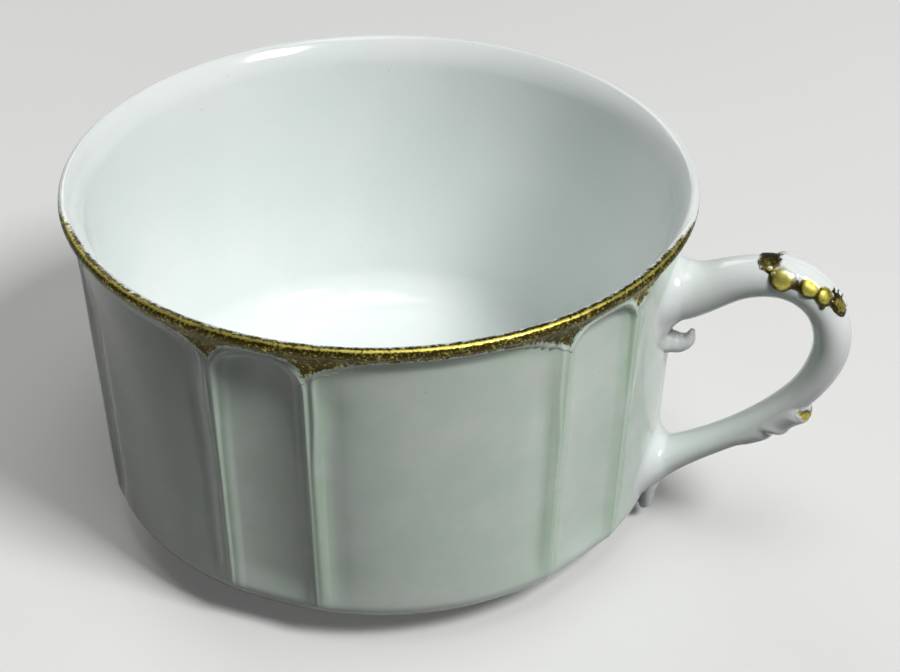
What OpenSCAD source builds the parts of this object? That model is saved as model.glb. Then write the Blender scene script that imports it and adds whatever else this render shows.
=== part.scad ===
// Flat cup: a porcelain teacup with arched flutes, a looped handle with leaf relief and a gilt rim.
// The cup's axis is Z, its foot stands on Z = 0 and its handle points along +X.

/* [Bowl] */
// Outside diameter of the rim
rim_d = 96; // [86:1:110]
// Height from the table to the rim
cup_h = 56; // [54:1:70]
// Depth of the flared lip, from the rim down
flare_h = 4.5; // [3:0.5:6]
// How far the lip stands out beyond the wall below it
lip_flare = 1.7; // [0.6:0.1:2.4]
// How far the wall draws in from the lip to the bottom turn
wall_draw = 1.7; // [0.5:0.1:4]
// Height of the rounded turn between wall and bottom
turn_h = 7; // [5:0.5:9]
// Width of the rounded turn between wall and bottom
turn_w = 15.5; // [12:0.5:18]
// Thickness of the wall
wall_t = 2.8; // [2.4:0.1:3.6]
// Thickness of the lip
lip_t = 1.8; // [1.4:0.1:2.4]
// Thickness of the floor
floor_t = 3; // [2.4:0.1:4]
// Height of the rounded turn inside, between wall and floor
inside_turn_h = 8; // [5:0.5:12]
// Width of the rounded turn inside, between wall and floor
inside_turn_w = 16; // [10:0.5:20]

/* [Foot] */
// Outside diameter of the foot ring
foot_d = 57; // [46:1:58]
// Width of the face that the foot ring stands on
foot_w = 2.4; // [1.6:0.2:4]
// Height of the foot ring
foot_h = 1.5; // [1:0.1:3]
// How much wider the foot ring is at its top, on each side
foot_spread = 0.5; // [0.2:0.1:0.8]

/* [Flutes] */
// Number of flutes round the bowl
flute_count = 6; // [5:1:8]
// Turn, in degrees, of the flutes beside the handle towards it, and of the next ones away from it
flute_shift = 2; // [0:0.5:3]
// Width of a flute between its raised borders
flute_w = 12.6; // [10:0.2:14]
// Depth of a flute in its middle, below the round of the wall
flute_depth = 1.25; // [1:0.05:1.5]
// Depth of a flute's edge, below the round of the wall
flute_edge = 0.2; // [0.1:0.05:0.25]
// Distance from the rim to the top of a flute's arch
arch_drop = 4.4; // [4:0.1:7]
// Width of the raised border round a flute
border_w = 1.5; // [1:0.1:1.8]
// Width of the raised border round a wide panel between two flutes
panel_border_w = 1.1; // [0.7:0.1:1.3]
// Distance from the gold band down to a wide panel's border
panel_gap = 0.3; // [0.2:0.1:1]
// Rise of a wide panel's flat arch, from its corners to its middle
panel_rise = 3.2; // [2:0.1:5]
// Height of the raised borders at the arches
border_h = 0.4; // [0.2:0.05:0.6]
// Height of the raised borders at their foot, where they fade out
border_foot_h = 0.08; // [0.05:0.01:0.15]

/* [Handle] */
// Distance from the rim to the middle of the upper root
handle_drop = 11.2; // [11:0.2:14]
// Height of the middle of the lower root above the table
lower_root_h = 11.8; // [11.6:0.2:16]
// How far the middle line of the loop reaches out from the wall
handle_reach = 23.7; // [20:0.1:30]
// Thickness of the loop at its crown, in the plane of the loop
handle_t = 6; // [5:0.1:7]
// Breadth of the loop at its crown, across the plane of the loop
handle_b = 6.8; // [5.6:0.1:8]
// Thickness of the slip between the roots and the wall
slip_t = 0.4; // [0.2:0.05:0.8]
// How far the slip spreads past the roots on the wall
slip_spread = 0.6; // [0.2:0.1:1.2]

/* [Relief] */
// Thickness of the thumb leaf along its middle
leaf_t = 0.4; // [0.35:0.05:1.2]
// Thickness of the thumb leaf at its edge
leaf_edge_t = 0.3; // [0.2:0.05:0.35]
// Height of the lobes along the edges of the thumb leaf
lobe_t = 0.5; // [0.2:0.1:0.8]
// Number of lobes along each edge of the thumb leaf
leaf_lobes = 4; // [3:1:6]
// Height of the knobs on the lower leaf
knob_t = 1.4; // [0.6:0.1:1.8]
// Number of knobs on the lower leaf
knob_count = 3; // [2:1:5]
// Distance from the middle of the upper root down to the scroll under it
curl_drop = 10; // [9.5:0.1:12]
// Height of the scroll on the wall
curl_size = 3.8; // [3:0.1:5]
// Length of the tail below the lower root
tail_l = 6.6; // [4:0.1:7]
// Width of the tail at its root
tail_w = 4; // [3:0.1:5]

/* [Gilding] */
// Depth of the gold band on the outside of the rim
gilt_band = 2.2; // [1.2:0.1:2.4]
// How far the gold goes over the lip, in degrees from its outside towards its top
gilt_lip_angle = 72; // [36:18:108]
// Thickness of the gold
gilt_t = 0.06; // [0.05:0.01:0.1]

/* [Fit] */
// Clearance between pieces that are seated on each other's curved faces
seat_gap = 0.05; // [0.04:0.01:0.08]

/* [Hidden] */

porcelain = [0.93, 0.94, 0.91];
biscuit = [0.86, 0.84, 0.78];
gold = [0.66, 0.50, 0.16];
$fn = 96;

// Heights and radii of the bowl
rim_r = rim_d / 2;
lip_z = cup_h - lip_t / 2;
neck_r = rim_r - lip_flare;
neck_z = cup_h - flare_h;
turn_r = neck_r - wall_draw;
turn_z = foot_h + turn_h;
base_r = turn_r - turn_w;
floor_z = foot_h + floor_t;
inside_turn_z = floor_z + inside_turn_h;
curve_steps = 10;

// Outside radius of the bowl at a height, on the round between the flutes
function wall_r(z) =
    z >= neck_z ? neck_r + lip_flare * pow((min(z, lip_z) - neck_z) / (lip_z - neck_z), 2)
    : z >= turn_z ? turn_r + wall_draw * (z - turn_z) / (neck_z - turn_z)
    : base_r + turn_w * sqrt(max(0, 1 - pow((turn_z - z) / turn_h, 2)));

// Thickness of the wall at a height, thinning towards the lip
function thickness(z) = lip_t + (wall_t - lip_t) * min(1, (lip_z - z) / (lip_z - inside_turn_z));

lip_outside = [for (i = [0 : curve_steps]) neck_z + (lip_z - neck_z) * i / curve_steps];
lip_middle = wall_r(lip_z) - lip_t / 2;
inside_turn_r = wall_r(inside_turn_z) - wall_t;

// Point on the rounded top of the lip, from outside at 0 degrees to inside at 180, with a layer over it
function lip_point(angle, layer = 0) =
    [lip_middle + (lip_t / 2 + layer) * cos(angle), lip_z + (lip_t / 2 + layer) * sin(angle)];

function bowl_outline() = concat(
    [[0, foot_h]],
    [for (i = [0 : curve_steps])
        let (angle = 90 * i / curve_steps)
        [base_r + turn_w * sin(angle), turn_z - turn_h * cos(angle)]],
    [for (z = lip_outside) [wall_r(z), z]],
    [for (i = [1 : curve_steps]) lip_point(180 * i / curve_steps)],
    [for (i = [curve_steps - 1 : -1 : 0])
        let (z = lip_outside[i])
        [wall_r(z) - thickness(z), z]],
    [for (i = [0 : curve_steps])
        let (angle = 90 * i / curve_steps)
        [inside_turn_r - inside_turn_w * (1 - cos(angle)), inside_turn_z - inside_turn_h * sin(angle)]],
    [[0, floor_z]]
);

// Flutes: an arched outline, pushed in along the radius, with a trough of round section behind it
arch_z = cup_h - arch_drop;
half_flute = flute_w / 2;
edge_fall = turn_r - sqrt(turn_r * turn_r - half_flute * half_flute);
trough_rise = flute_depth - flute_edge - edge_fall;
trough_r = (half_flute * half_flute + trough_rise * trough_rise) / (2 * trough_rise);
wall_lean = atan(wall_draw / (neck_z - turn_z));
border_foot_z = turn_z + border_w;

// Angle of a flute round the bowl, the same on both sides of the handle
function flute_turn(i) =
    let (
        pair = min(i, flute_count - 1 - i),
        shift = pair == 0 ? -flute_shift : pair == 1 ? flute_shift : 0
    )
    (i + 0.5) * 360 / flute_count + (i < flute_count / 2 ? shift : -shift);

module each_flute() {
    for (i = [0 : flute_count - 1])
        rotate(flute_turn(i)) children();
}

// Arched block that reaches from inside the wall to well outside it
module arched_block(half_w, top_z, foot_z) {
    spring_z = top_z - half_w;
    inner = neck_r / 2;
    translate([inner, 0, 0])
        rotate([90, 0, 90])
            linear_extrude(rim_d - inner) {
                translate([-half_w, foot_z]) square([2 * half_w, spring_z - foot_z]);
                translate([0, spring_z]) circle(half_w);
            }
}

module flute() {
    intersection() {
        arched_block(half_flute, arch_z, 0);
        translate([turn_r + trough_r - flute_depth, 0, turn_z])
            rotate([0, wall_lean, 0])
                translate([0, 0, -2 * turn_z]) cylinder(r = trough_r, h = 2 * cup_h);
    }
}

// Band of the wall's own round, raised most at the arches and fading downwards
border_top_z = cup_h - gilt_band - panel_gap / 2;

module border_shell() {
    heights = concat([for (z = lip_outside) if (z < border_top_z) z], [border_top_z]);
    rotate_extrude()
        polygon(concat(
            [[turn_r - wall_t / 2, border_foot_z], [wall_r(border_foot_z) + border_foot_h, border_foot_z]],
            [for (z = heights) [wall_r(z) + border_h, z]],
            [[neck_r - wall_t / 2, border_top_z]]
        ));
}

module flute_border() {
    arched_block(half_flute + border_w, arch_z + border_w, turn_z);
}

// Border of a wide panel, which runs beside the flutes' borders and closes in a flat arch under the rim
panel_top_z = cup_h - gilt_band - panel_gap;
border_turn = asin((half_flute + border_w) / neck_r);

module panel_outline(half_w, inset) {
    arch_r = (half_w * half_w + panel_rise * panel_rise) / (2 * panel_rise);
    intersection() {
        translate([inset - half_w, turn_z]) square([2 * (half_w - inset), cup_h]);
        translate([0, panel_top_z - arch_r]) circle(arch_r - inset);
    }
}

module panel_border(half_w) {
    inner = neck_r / 2;
    translate([inner, 0, 0])
        rotate([90, 0, 90])
            linear_extrude(rim_d - inner)
                difference() {
                    panel_outline(half_w, 0);
                    panel_outline(half_w, panel_border_w);
                }
}

// One panel holds the handle, and each of the others lies between two flutes
module panel_borders() {
    panel_border(neck_r * sin(flute_turn(0) - border_turn));
    for (i = [1 : flute_count - 1]) {
        from = flute_turn(i - 1);
        to = flute_turn(i);
        rotate((from + to) / 2) panel_border(neck_r * sin((to - from) / 2 - border_turn));
    }
}

module borders() {
    intersection() {
        border_shell();
        union() {
            each_flute() flute_border();
            panel_borders();
        }
    }
}

module cup_body() {
    color(porcelain)
        difference() {
            union() {
                rotate_extrude() polygon(bowl_outline());
                borders();
            }
            each_flute() flute();
        }
}

module foot_ring() {
    outer = foot_d / 2;
    inner = outer - foot_w;
    color(biscuit)
        rotate_extrude()
            polygon([
                [inner, 0], [outer, 0], [outer + foot_spread, foot_h], [inner - foot_spread, foot_h]
            ]);
}

module rim_gilding() {
    band = concat(
        [cup_h - gilt_band],
        [for (z = lip_outside) if (z > cup_h - gilt_band) z]
    );
    tops = [for (i = [1 : curve_steps]) if (180 * i / curve_steps <= gilt_lip_angle) 180 * i / curve_steps];
    color(gold)
        rotate_extrude()
            polygon(concat(
                [for (z = band) [wall_r(z) + gilt_t, z]],
                [for (angle = tops) lip_point(angle, gilt_t)],
                [for (i = [len(tops) - 1 : -1 : 0]) lip_point(tops[i])],
                [for (i = [len(band) - 1 : -1 : 0]) [wall_r(band[i]), band[i]]]
            ));
}

// Smooth line through a list of points, with u counting from 0 at the first
function smooth(list, u) =
    let (
        last = len(list) - 1,
        i = max(0, min(last - 1, floor(u))),
        t = u - i,
        a = list[max(i - 1, 0)],
        b = list[i],
        c = list[i + 1],
        d = list[min(i + 2, last)]
    )
    0.5 * (2 * b + (c - a) * t + (2 * a - 5 * b + 4 * c - d) * t * t + (3 * b - a - 3 * c + d) * t * t * t);

function unit(v) = v / norm(v);
function ease(t) = let (c = max(0, min(1, t))) c * c * (3 - 2 * c);

// Loop of the handle, each point as shares of handle_reach, handle_span, handle_t and handle_b
handle_line = [
    [0.000, 0.020, 2.03, 1.85],
    [0.032, 0.013, 1.60, 1.56],
    [0.092, 0.011, 1.43, 1.32],
    [0.211, -0.029, 1.17, 1.15],
    [0.371, -0.100, 1.03, 1.06],
    [0.574, -0.139, 1.00, 1.00],
    [0.759, -0.118, 0.97, 0.97],
    [0.911, -0.030, 0.92, 0.94],
    [0.994, 0.109, 0.93, 0.91],
    [0.990, 0.248, 0.90, 0.88],
    [0.899, 0.424, 0.77, 0.85],
    [0.726, 0.579, 0.70, 0.82],
    [0.519, 0.724, 0.70, 0.82],
    [0.295, 0.842, 0.73, 0.85],
    [0.135, 0.927, 0.90, 1.00],
    [0.051, 0.976, 1.17, 1.29],
    [0.000, 1.000, 1.60, 1.71]
];
handle_points = len(handle_line) - 1;
root_blend_points = 4.5;
ring_sides = 20;
rings_per_point = 3;

upper_root_z = cup_h - handle_drop;
handle_span = upper_root_z - lower_root_h;

function handle_at(u) =
    let (p = smooth(handle_line, u), z = upper_root_z - handle_span * p[1])
    [wall_r(z) + slip_t + handle_reach * p[0], z];

// Outward direction across the loop, turned upright at both roots
function handle_out(u) =
    let (
        step = 0.01,
        run = unit(handle_at(min(u + step, handle_points)) - handle_at(max(u - step, 0))),
        side = [-run[1], run[0]],
        upper = ease(u / root_blend_points),
        lower = ease((handle_points - u) / root_blend_points)
    )
    unit(side * upper * lower + [0, 1] * (1 - upper) + [0, -1] * (1 - lower));

// Point on the handle's surface, with 90 degrees outwards in the plane of the loop, lifted off by some layer
function handle_point(u, angle, lift = 0) =
    let (
        p = smooth(handle_line, u),
        at = handle_at(u),
        out = handle_out(u),
        up = (p[2] * handle_t / 2 + lift) * sin(angle),
        across = (p[3] * handle_b / 2 + lift) * cos(angle)
    )
    [at[0] + out[0] * up, across, at[1] + out[1] * up];

function ring_angle(k) = (k + 0.5) * 360 / ring_sides;
function wall_x(y, z, off) = let (r = wall_r(z) + off) sqrt(r * r - y * y);

// Point moved along X on to the wall, or on to a layer over it
function on_wall(p, off) = [wall_x(p[1], p[2], off), p[1], p[2]];

// Face of a root on the wall, or on a layer over it, as rings that grow from the root's middle to its edge
face_rings = 5;

function root_face(u, off, spread = 0) =
    let (middle = handle_at(u))
    [for (i = [1 : face_rings])
        [for (k = [0 : ring_sides - 1])
            let (edge = handle_point(u, ring_angle(k), spread), share = i / face_rings)
            on_wall([0, edge[1] * share, middle[1] + (edge[2] - middle[1]) * share], off)]];

function reversed(list) = [for (i = [len(list) - 1 : -1 : 0]) list[i]];

// Solid through a list of rings that have the same number of points, each ring right-handed about the line
module loft(rings) {
    n = len(rings[0]);
    m = len(rings);
    last = (m - 1) * n;
    sides = [for (i = [0 : m - 2], j = [0 : n - 1])
        let (a = i * n + j, b = i * n + (j + 1) % n)
        each [[a, b + n, b], [a, a + n, b + n]]];
    caps = [for (j = [0 : n / 2 - 2])
        let (a = j, b = j + 1, c = n - 2 - j, d = n - 1 - j)
        each [[a, b, c], [a, c, d], [last + a, last + c, last + b], [last + a, last + d, last + c]]];
    polyhedron([for (ring = rings) each ring], concat(sides, caps), convexity = 8);
}

module handle() {
    count = handle_points * rings_per_point;
    color(porcelain)
        loft(concat(
            root_face(0, slip_t),
            [for (i = [1 : count - 1])
                let (u = handle_points * i / count)
                [for (k = [0 : ring_sides - 1]) handle_point(u, ring_angle(k))]],
            reversed(root_face(handle_points, slip_t))
        ));
}

module upper_slip_joint() {
    color(porcelain)
        loft(concat(root_face(0, seat_gap, slip_spread), reversed(root_face(0, slip_t - seat_gap))));
}

module lower_slip_joint() {
    color(porcelain)
        loft(concat(
            root_face(handle_points, slip_t - seat_gap),
            reversed(root_face(handle_points, seat_gap, slip_spread))
        ));
}

// Ring of a layer over the handle's outside, from angle a to angle b, between two heights off its surface
function layer_ring(u, a, b, low, high) =
    let (n = len(high) - 1)
    concat(
        [for (k = [0 : n]) handle_point(u, a + (b - a) * k / n, high[k])],
        [for (k = [n : -1 : 0]) handle_point(u, a + (b - a) * k / n, low[k])]
    );

// Thumb leaf: where it starts and ends along the loop, and how far its edges reach round it
leaf_start_point = 4.65;
leaf_end_point = 7.3;
leaf_angle = 66;
lobe_angle = 22;
leaf_tip_angle = 30;
lobe_growth = 1.7;
lobe_middle = 0.68;
lobe_spread = 0.34;
leaf_swell = 6;
leaf_taper = 3;
leaf_rows = 40;
leaf_columns = 12;

function leaf_u(v) = leaf_start_point + (leaf_end_point - leaf_start_point) * v;
function lobe(v) = abs(sin(180 * leaf_lobes * pow(v, lobe_growth)));
function leaf_half(v) =
    leaf_tip_angle + (leaf_angle - leaf_tip_angle) * ease(leaf_swell * v) * ease(leaf_taper * (1 - v))
    + lobe_angle * lobe(v);
function leaf_height(v, side) =
    leaf_edge_t + (leaf_t - leaf_edge_t) * (1 - side * side) * ease(2 * v)
    + lobe_t * lobe(v) * ease(1 - abs(abs(side) - lobe_middle) / lobe_spread);

module thumb_leaf() {
    sides = [for (k = [0 : leaf_columns]) 2 * k / leaf_columns - 1];
    color(porcelain)
        loft([for (i = [0 : leaf_rows])
            let (v = i / leaf_rows, half = leaf_half(v))
            layer_ring(
                leaf_u(v), 90 - half, 90 + half,
                [for (s = sides) seat_gap],
                [for (s = sides) seat_gap + leaf_height(v, s)]
            )]);
}

// Gold on one lobed edge of the thumb leaf, as wide as gilt_share of the leaf's half width
gilt_share = 0.42;
gilt_columns = 4;

module leaf_edge_gilding(turn) {
    sides = [for (k = [0 : gilt_columns]) 1 - gilt_share * k / gilt_columns];
    ends = turn > 0 ? sides : [for (k = [gilt_columns : -1 : 0]) -sides[k]];
    loft([for (i = [0 : leaf_rows])
        let (v = i / leaf_rows, half = leaf_half(v))
        layer_ring(
            leaf_u(v), 90 - half * ends[0], 90 - half * ends[gilt_columns],
            [for (s = ends) 2 * seat_gap + leaf_height(v, s)],
            [for (s = ends) 2 * seat_gap + leaf_height(v, s) + gilt_t]
        )]);
}

module thumb_leaf_gilding() {
    color(gold) {
        leaf_edge_gilding(1);
        leaf_edge_gilding(-1);
    }
}

// Lower leaf: a row of knobs along the outside of the lower arm, growing towards a free tip at the upper end
knobs_start_point = 10.4;
knobs_end_point = 12.1;
knobs_angle = 62;
knobs_end_share = 0.25;
knobs_taper = 0.5;
knobs_rows = 32;
knobs_columns = 8;
gilt_knob_share = 0.2;

function knobs_u(v) = knobs_start_point + (knobs_end_point - knobs_start_point) * v;
function knobs_half(v) = knobs_angle * (knobs_end_share + (1 - knobs_end_share) * sqrt(max(0, sin(180 * v))));
function knobs_height(v, side) =
    let (bump = abs(sin(180 * knob_count * v)), grow = 1 - knobs_taper * v)
    leaf_edge_t / 2 + knob_t * grow * bump * (1 - side * side);

module knobs_layer(from, to, rows, low, high) {
    sides = [for (k = [0 : knobs_columns]) 2 * k / knobs_columns - 1];
    loft([for (i = [0 : rows])
        let (v = from + (to - from) * i / rows, half = knobs_half(v))
        layer_ring(
            knobs_u(v), 90 - half, 90 + half,
            [for (s = sides) low[0] + low[1] * knobs_height(v, s)],
            [for (s = sides) high[0] + high[1] * knobs_height(v, s)]
        )]);
}

module lower_leaf() {
    color(porcelain) knobs_layer(0, 1, knobs_rows, [seat_gap, 0], [seat_gap, 1]);
}

module lower_leaf_gilding() {
    rows = round(knobs_rows * gilt_knob_share);
    color(gold) knobs_layer(0, gilt_knob_share, rows, [2 * seat_gap, 1], [2 * seat_gap + gilt_t, 1]);
}

// Radius of the straight wall, carried on past the bottom turn
function straight_r(z) = turn_r + wall_draw * (z - turn_z) / (neck_z - turn_z);

// Ring of a small branch that grows from the wall or hangs down it, along a line of
// [distance off the straight wall, height, half depth, half width], kept clear of the wall
function branch_ring(line, u) =
    let (
        step = 0.01,
        last = len(line) - 1,
        p = smooth(line, u),
        q = smooth(line, min(u + step, last)) - smooth(line, max(u - step, 0)),
        run = unit([q[0], q[1]])
    )
    [for (k = [0 : ring_sides - 1])
        let (
            y = p[3] * cos(ring_angle(k)),
            x = p[0] - run[1] * p[2] * sin(ring_angle(k)),
            z = p[1] + run[0] * p[2] * sin(ring_angle(k))
        )
        [max(straight_r(z) + x, wall_x(y, z, seat_gap)), y, z]];

branch_rings = 12;

module branch(seat, line) {
    last = len(line) - 1;
    loft(concat(
        [seat],
        [for (i = [0 : branch_rings]) branch_ring(line, last * i / branch_rings)]
    ));
}

// Scroll on the wall under the upper root, with its tip turned up. Each point of its line is the distance
// off the wall, the rise above its middle, the half depth and the half width, as shares of curl_half
curl_half = curl_size / 2;
curl_z = upper_root_z - curl_drop;
curl_line = [
    [0.42, 0, 0.89, 0.95],
    [1.05, 0.05, 0.79, 0.84],
    [1.63, 0.47, 0.58, 0.68],
    [1.84, 1.21, 0.26, 0.37]
];

module upper_curl() {
    seat = [for (k = [0 : ring_sides - 1])
        on_wall([0, curl_half * cos(ring_angle(k)), curl_z + curl_half * sin(ring_angle(k))], seat_gap)];
    color(porcelain)
        branch(seat, [for (p = curl_line) [0, curl_z, 0, 0] + curl_half * p]);
}

// Ring on the handle's surface where the tail springs from it
function seat_ring(u, du, angle, da) =
    [for (k = [0 : ring_sides - 1])
        handle_point(u + du * sin(ring_angle(k)), angle + da * cos(ring_angle(k)), seat_gap)];

tail_point = handle_points - 1;
tail_seat_points = 0.5;
tail_seat_angle = 30;
tail_z = handle_point(tail_point, 90)[2];
// The tail ends above the table, however low the root is
tail_fall = min(tail_l, tail_z - foot_h / 2);
// Line of the tail: its share of the fall, then the distance off the wall, the half depth and the half width
// as shares of half its width
tail_line = [
    [0.15, 0.75, 0.65, 1],
    [0.4, 0.45, 0.58, 0.85],
    [0.8, 0.08, 0.45, 0.6],
    [1, -0.2, 0.2, 0.25]
];

module lower_tail() {
    color(porcelain)
        branch(
            seat_ring(tail_point, -tail_seat_points, 90, -tail_seat_angle),
            [for (p = tail_line)
                [p[1] * tail_w / 2, tail_z - tail_fall * p[0], p[2] * tail_w / 2, p[3] * tail_w / 2]]
        );
}

cup_body();
foot_ring();
handle();
upper_slip_joint();
lower_slip_joint();
thumb_leaf();
upper_curl();
lower_leaf();
lower_tail();
rim_gilding();
thumb_leaf_gilding();
lower_leaf_gilding();
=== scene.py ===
"""Looks of the flat cup: a glazed porcelain teacup with arched flutes, a leafy handle and worn gilding.

Every piece is built in millimetres from the sizes of the CAD part, in the CAD frame: Z is the cup's
axis, the foot stands on Z = 0 and the handle points along +X. Meshes are written in metres.
"""

import math
from collections import namedtuple

import bpy
import numpy as np
from mathutils import Matrix, Vector


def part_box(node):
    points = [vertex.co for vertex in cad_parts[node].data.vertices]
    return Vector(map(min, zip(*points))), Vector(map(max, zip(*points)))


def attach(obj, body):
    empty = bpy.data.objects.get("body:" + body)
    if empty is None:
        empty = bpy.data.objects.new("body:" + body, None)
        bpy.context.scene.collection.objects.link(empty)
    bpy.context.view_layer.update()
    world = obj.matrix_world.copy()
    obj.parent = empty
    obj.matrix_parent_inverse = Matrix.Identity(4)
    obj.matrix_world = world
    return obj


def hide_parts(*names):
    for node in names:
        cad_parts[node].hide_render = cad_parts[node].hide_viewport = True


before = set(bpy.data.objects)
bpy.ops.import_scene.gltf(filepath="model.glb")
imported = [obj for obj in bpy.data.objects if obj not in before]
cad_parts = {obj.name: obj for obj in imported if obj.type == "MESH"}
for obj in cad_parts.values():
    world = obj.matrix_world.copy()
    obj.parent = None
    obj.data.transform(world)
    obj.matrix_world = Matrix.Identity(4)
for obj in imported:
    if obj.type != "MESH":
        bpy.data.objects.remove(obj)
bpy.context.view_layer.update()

MM = 0.001

# Bowl
body_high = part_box("cup_body")[1]
foot_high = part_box("foot_ring")[1]
CUP_H = body_high.z / MM
RIM_R = body_high.y / MM
FOOT_H = foot_high.z / MM
FLARE_H = 4.5
LIP_FLARE = 1.7
WALL_DRAW = 1.7
TURN_H = 7.0
TURN_W = 15.5
WALL_T = 2.8
LIP_T = 1.8
FLOOR_T = 3.0
INSIDE_TURN_H = 8.0
INSIDE_TURN_W = 16.0

LIP_Z = CUP_H - LIP_T / 2
NECK_R = RIM_R - LIP_FLARE
NECK_Z = CUP_H - FLARE_H
TURN_R = NECK_R - WALL_DRAW
TURN_Z = FOOT_H + TURN_H
BASE_R = TURN_R - TURN_W
FLOOR_Z = FOOT_H + FLOOR_T
INSIDE_TURN_Z = FLOOR_Z + INSIDE_TURN_H
LIP_MIDDLE = RIM_R - LIP_T / 2

# The lip flares out and ends in a round edge, turned with the flare
LIP_TURN = math.radians(44)
FLARE_R = LIP_MIDDLE + LIP_T / 2 * math.cos(LIP_TURN)
FLARE_Z = LIP_Z - LIP_T / 2 * math.sin(LIP_TURN)

# Foot ring
FOOT_W = 2.4
FOOT_SPREAD = 0.5
FOOT_ROUND = 0.5
FOOT_OVERLAP = 0.05

# Flutes: an arched hollow inside a raised line
FLUTES = 6
FLUTE_SHIFT = 2.0
FLUTE_HALF = 6.8
FLUTE_DEPTH = 1.25
FLUTE_STEP = 0.62
FLUTE_STEP_LOW = 0.22
FLUTE_EDGE_W = 0.42
FLUTE_END_IN = 0.8
FLUTE_END_W = 2.1
FLUTE_NEAR = 12.0
ARCH_TOP = 3.0
ARCH_RISE = 5.9
ARCH_POWER = 2.3
SPRING_Z = CUP_H - ARCH_TOP - ARCH_RISE

# Wide panels: a flat arch under the rim, a raised line round it and a hollow inside the line
PANEL_DROP = 2.1
PANEL_FALL = 2.9
PANEL_POWER = 3.5
PANEL_CORNER_ANGLE = math.radians(10.7)
PANEL_SIDE_TOP = 8.1
PANEL_SIDE_LOW = 7.5
PANEL_HOLLOW_TOP = 0.10
PANEL_HOLLOW = 0.62
HOLLOW_FROM = 0.2
HOLLOW_AT = 2.4
HOLLOW_RUN = 2.4
CORNER_SOFT = 0.6

# Raised lines
RIDGE_H = 0.24
RIDGE_LOW_H = 0.07
RIDGE_HALF = 0.42

# Heights between which the relief grows or fades
FOOT_FADE = (TURN_Z - 3.5, TURN_Z + 5.0)
LIP_FADE = (CUP_H - 2.0, CUP_H - 1.0)
RIDGE_GROWTH = (TURN_Z + 8.0, CUP_H - 8.0)
FLUTE_FADE = (TURN_Z - 5.5, TURN_Z + 4.0)
STEP_GROWTH = (CUP_H - 24.0, CUP_H - 8.0)
ARCH_END = (SPRING_Z + 0.3 * ARCH_RISE, SPRING_Z + ARCH_RISE)
SIDE_GROWTH = (CUP_H - 24.0, CUP_H - 12.0)
HOLLOW_FADE = (CUP_H - 14.0, CUP_H - 4.0)

# Glaze: how thick it is all over, and where it pools, as a depth, a distance from a line and a half width
GLAZE_THICK = 0.42
POOL_IN_FLUTE = (0.45, 0.70, 0.50)
POOL_BY_FLUTE = (0.50, 0.75, 0.35)
POOL_IN_PANEL = (0.28, 1.30, 0.90)

# Waviness of the hand-finished wall: each wave's height, its turns round the cup, its rise and its start
WAVES = (
    (0.020, 5, 0.09, 0.0),
    (0.015, 11, -0.21, 1.3),
    (0.012, 0, 0.40, 0.0),
)
WAVES_FADE = 6.0

# Handle: each point as shares of the reach, the span, the thickness and the breadth
HANDLE_DROP = 11.2
LOWER_ROOT_Z = 11.8
HANDLE_REACH = 23.7
HANDLE_T = 6.0
HANDLE_B = 6.8
SLIP_T = 0.4
ROOT_BLEND = 4.5
HANDLE_LINE = np.array([
    [0.000, 0.020, 2.03, 1.85],
    [0.032, 0.013, 1.60, 1.56],
    [0.092, 0.011, 1.43, 1.32],
    [0.211, -0.029, 1.17, 1.15],
    [0.371, -0.100, 1.03, 1.06],
    [0.574, -0.139, 1.00, 1.00],
    [0.759, -0.118, 0.97, 0.97],
    [0.911, -0.030, 0.92, 0.94],
    [0.994, 0.109, 0.93, 0.91],
    [0.990, 0.248, 0.90, 0.88],
    [0.899, 0.424, 0.77, 0.85],
    [0.726, 0.579, 0.70, 0.82],
    [0.519, 0.724, 0.70, 0.82],
    [0.295, 0.842, 0.73, 0.85],
    [0.135, 0.927, 0.90, 1.00],
    [0.051, 0.976, 1.17, 1.29],
    [0.000, 1.000, 1.60, 1.71],
])
UPPER_ROOT_Z = CUP_H - HANDLE_DROP
HANDLE_SPAN = UPPER_ROOT_Z - LOWER_ROOT_Z
HANDLE_POINTS = len(HANDLE_LINE) - 1

# How close the meshes are
PANEL_COLUMNS = 13
FLUTE_COLUMNS = 28
FLUTE_EDGE_ANGLE = math.radians(11.5)
FLUTE_CORE_ANGLE = math.radians(6.0)
ARCH_ROWS_Z = SPRING_Z - 3.0
LIP_ROWS_Z = CUP_H - 1.8
LOW_ROWS = 24
ARCH_ROWS = 52
UNDER_LIP_ROWS = 4
LIP_ROWS = 15
FLARE_ROWS = 9
INSIDE_ROWS = 8
TURN_ROWS = 18
BASE_ROWS = 3
FLOOR_ROWS = 4
CENTRE_R = 2.0
FOOT_ROWS = 6
FOOT_COLUMNS = 240
HANDLE_ROWS = 15
HANDLE_COLUMNS = 72
FILLET_ROWS = 16
LEAF_MESH = (230, 181)
KNOBS_MESH = (190, 121)
BRANCH_ROWS = 40
LIP_GOLD_ROWS = 40


# Small helpers

def smoothstep(low, high, x):
    t = np.clip((x - low) / (high - low), 0.0, 1.0)
    return t * t * (3.0 - 2.0 * t)


def mix(a, b, t):
    return a + (b - a) * t


def bell(x, half):
    return np.exp(-(x / half) ** 2)


def soft_min(a, b, soft):
    return -soft * np.logaddexp(-a / soft, -b / soft)


def soft_max(a, b, soft):
    return soft * np.logaddexp(a / soft, b / soft)


def steps(start, end, count, last=True):
    return np.linspace(start, end, count, endpoint=last)


def turn_from(start, end):
    """The shorter way round from one angle to another, with its sign."""
    return np.mod(end - start + math.pi, 2 * math.pi) - math.pi


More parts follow.
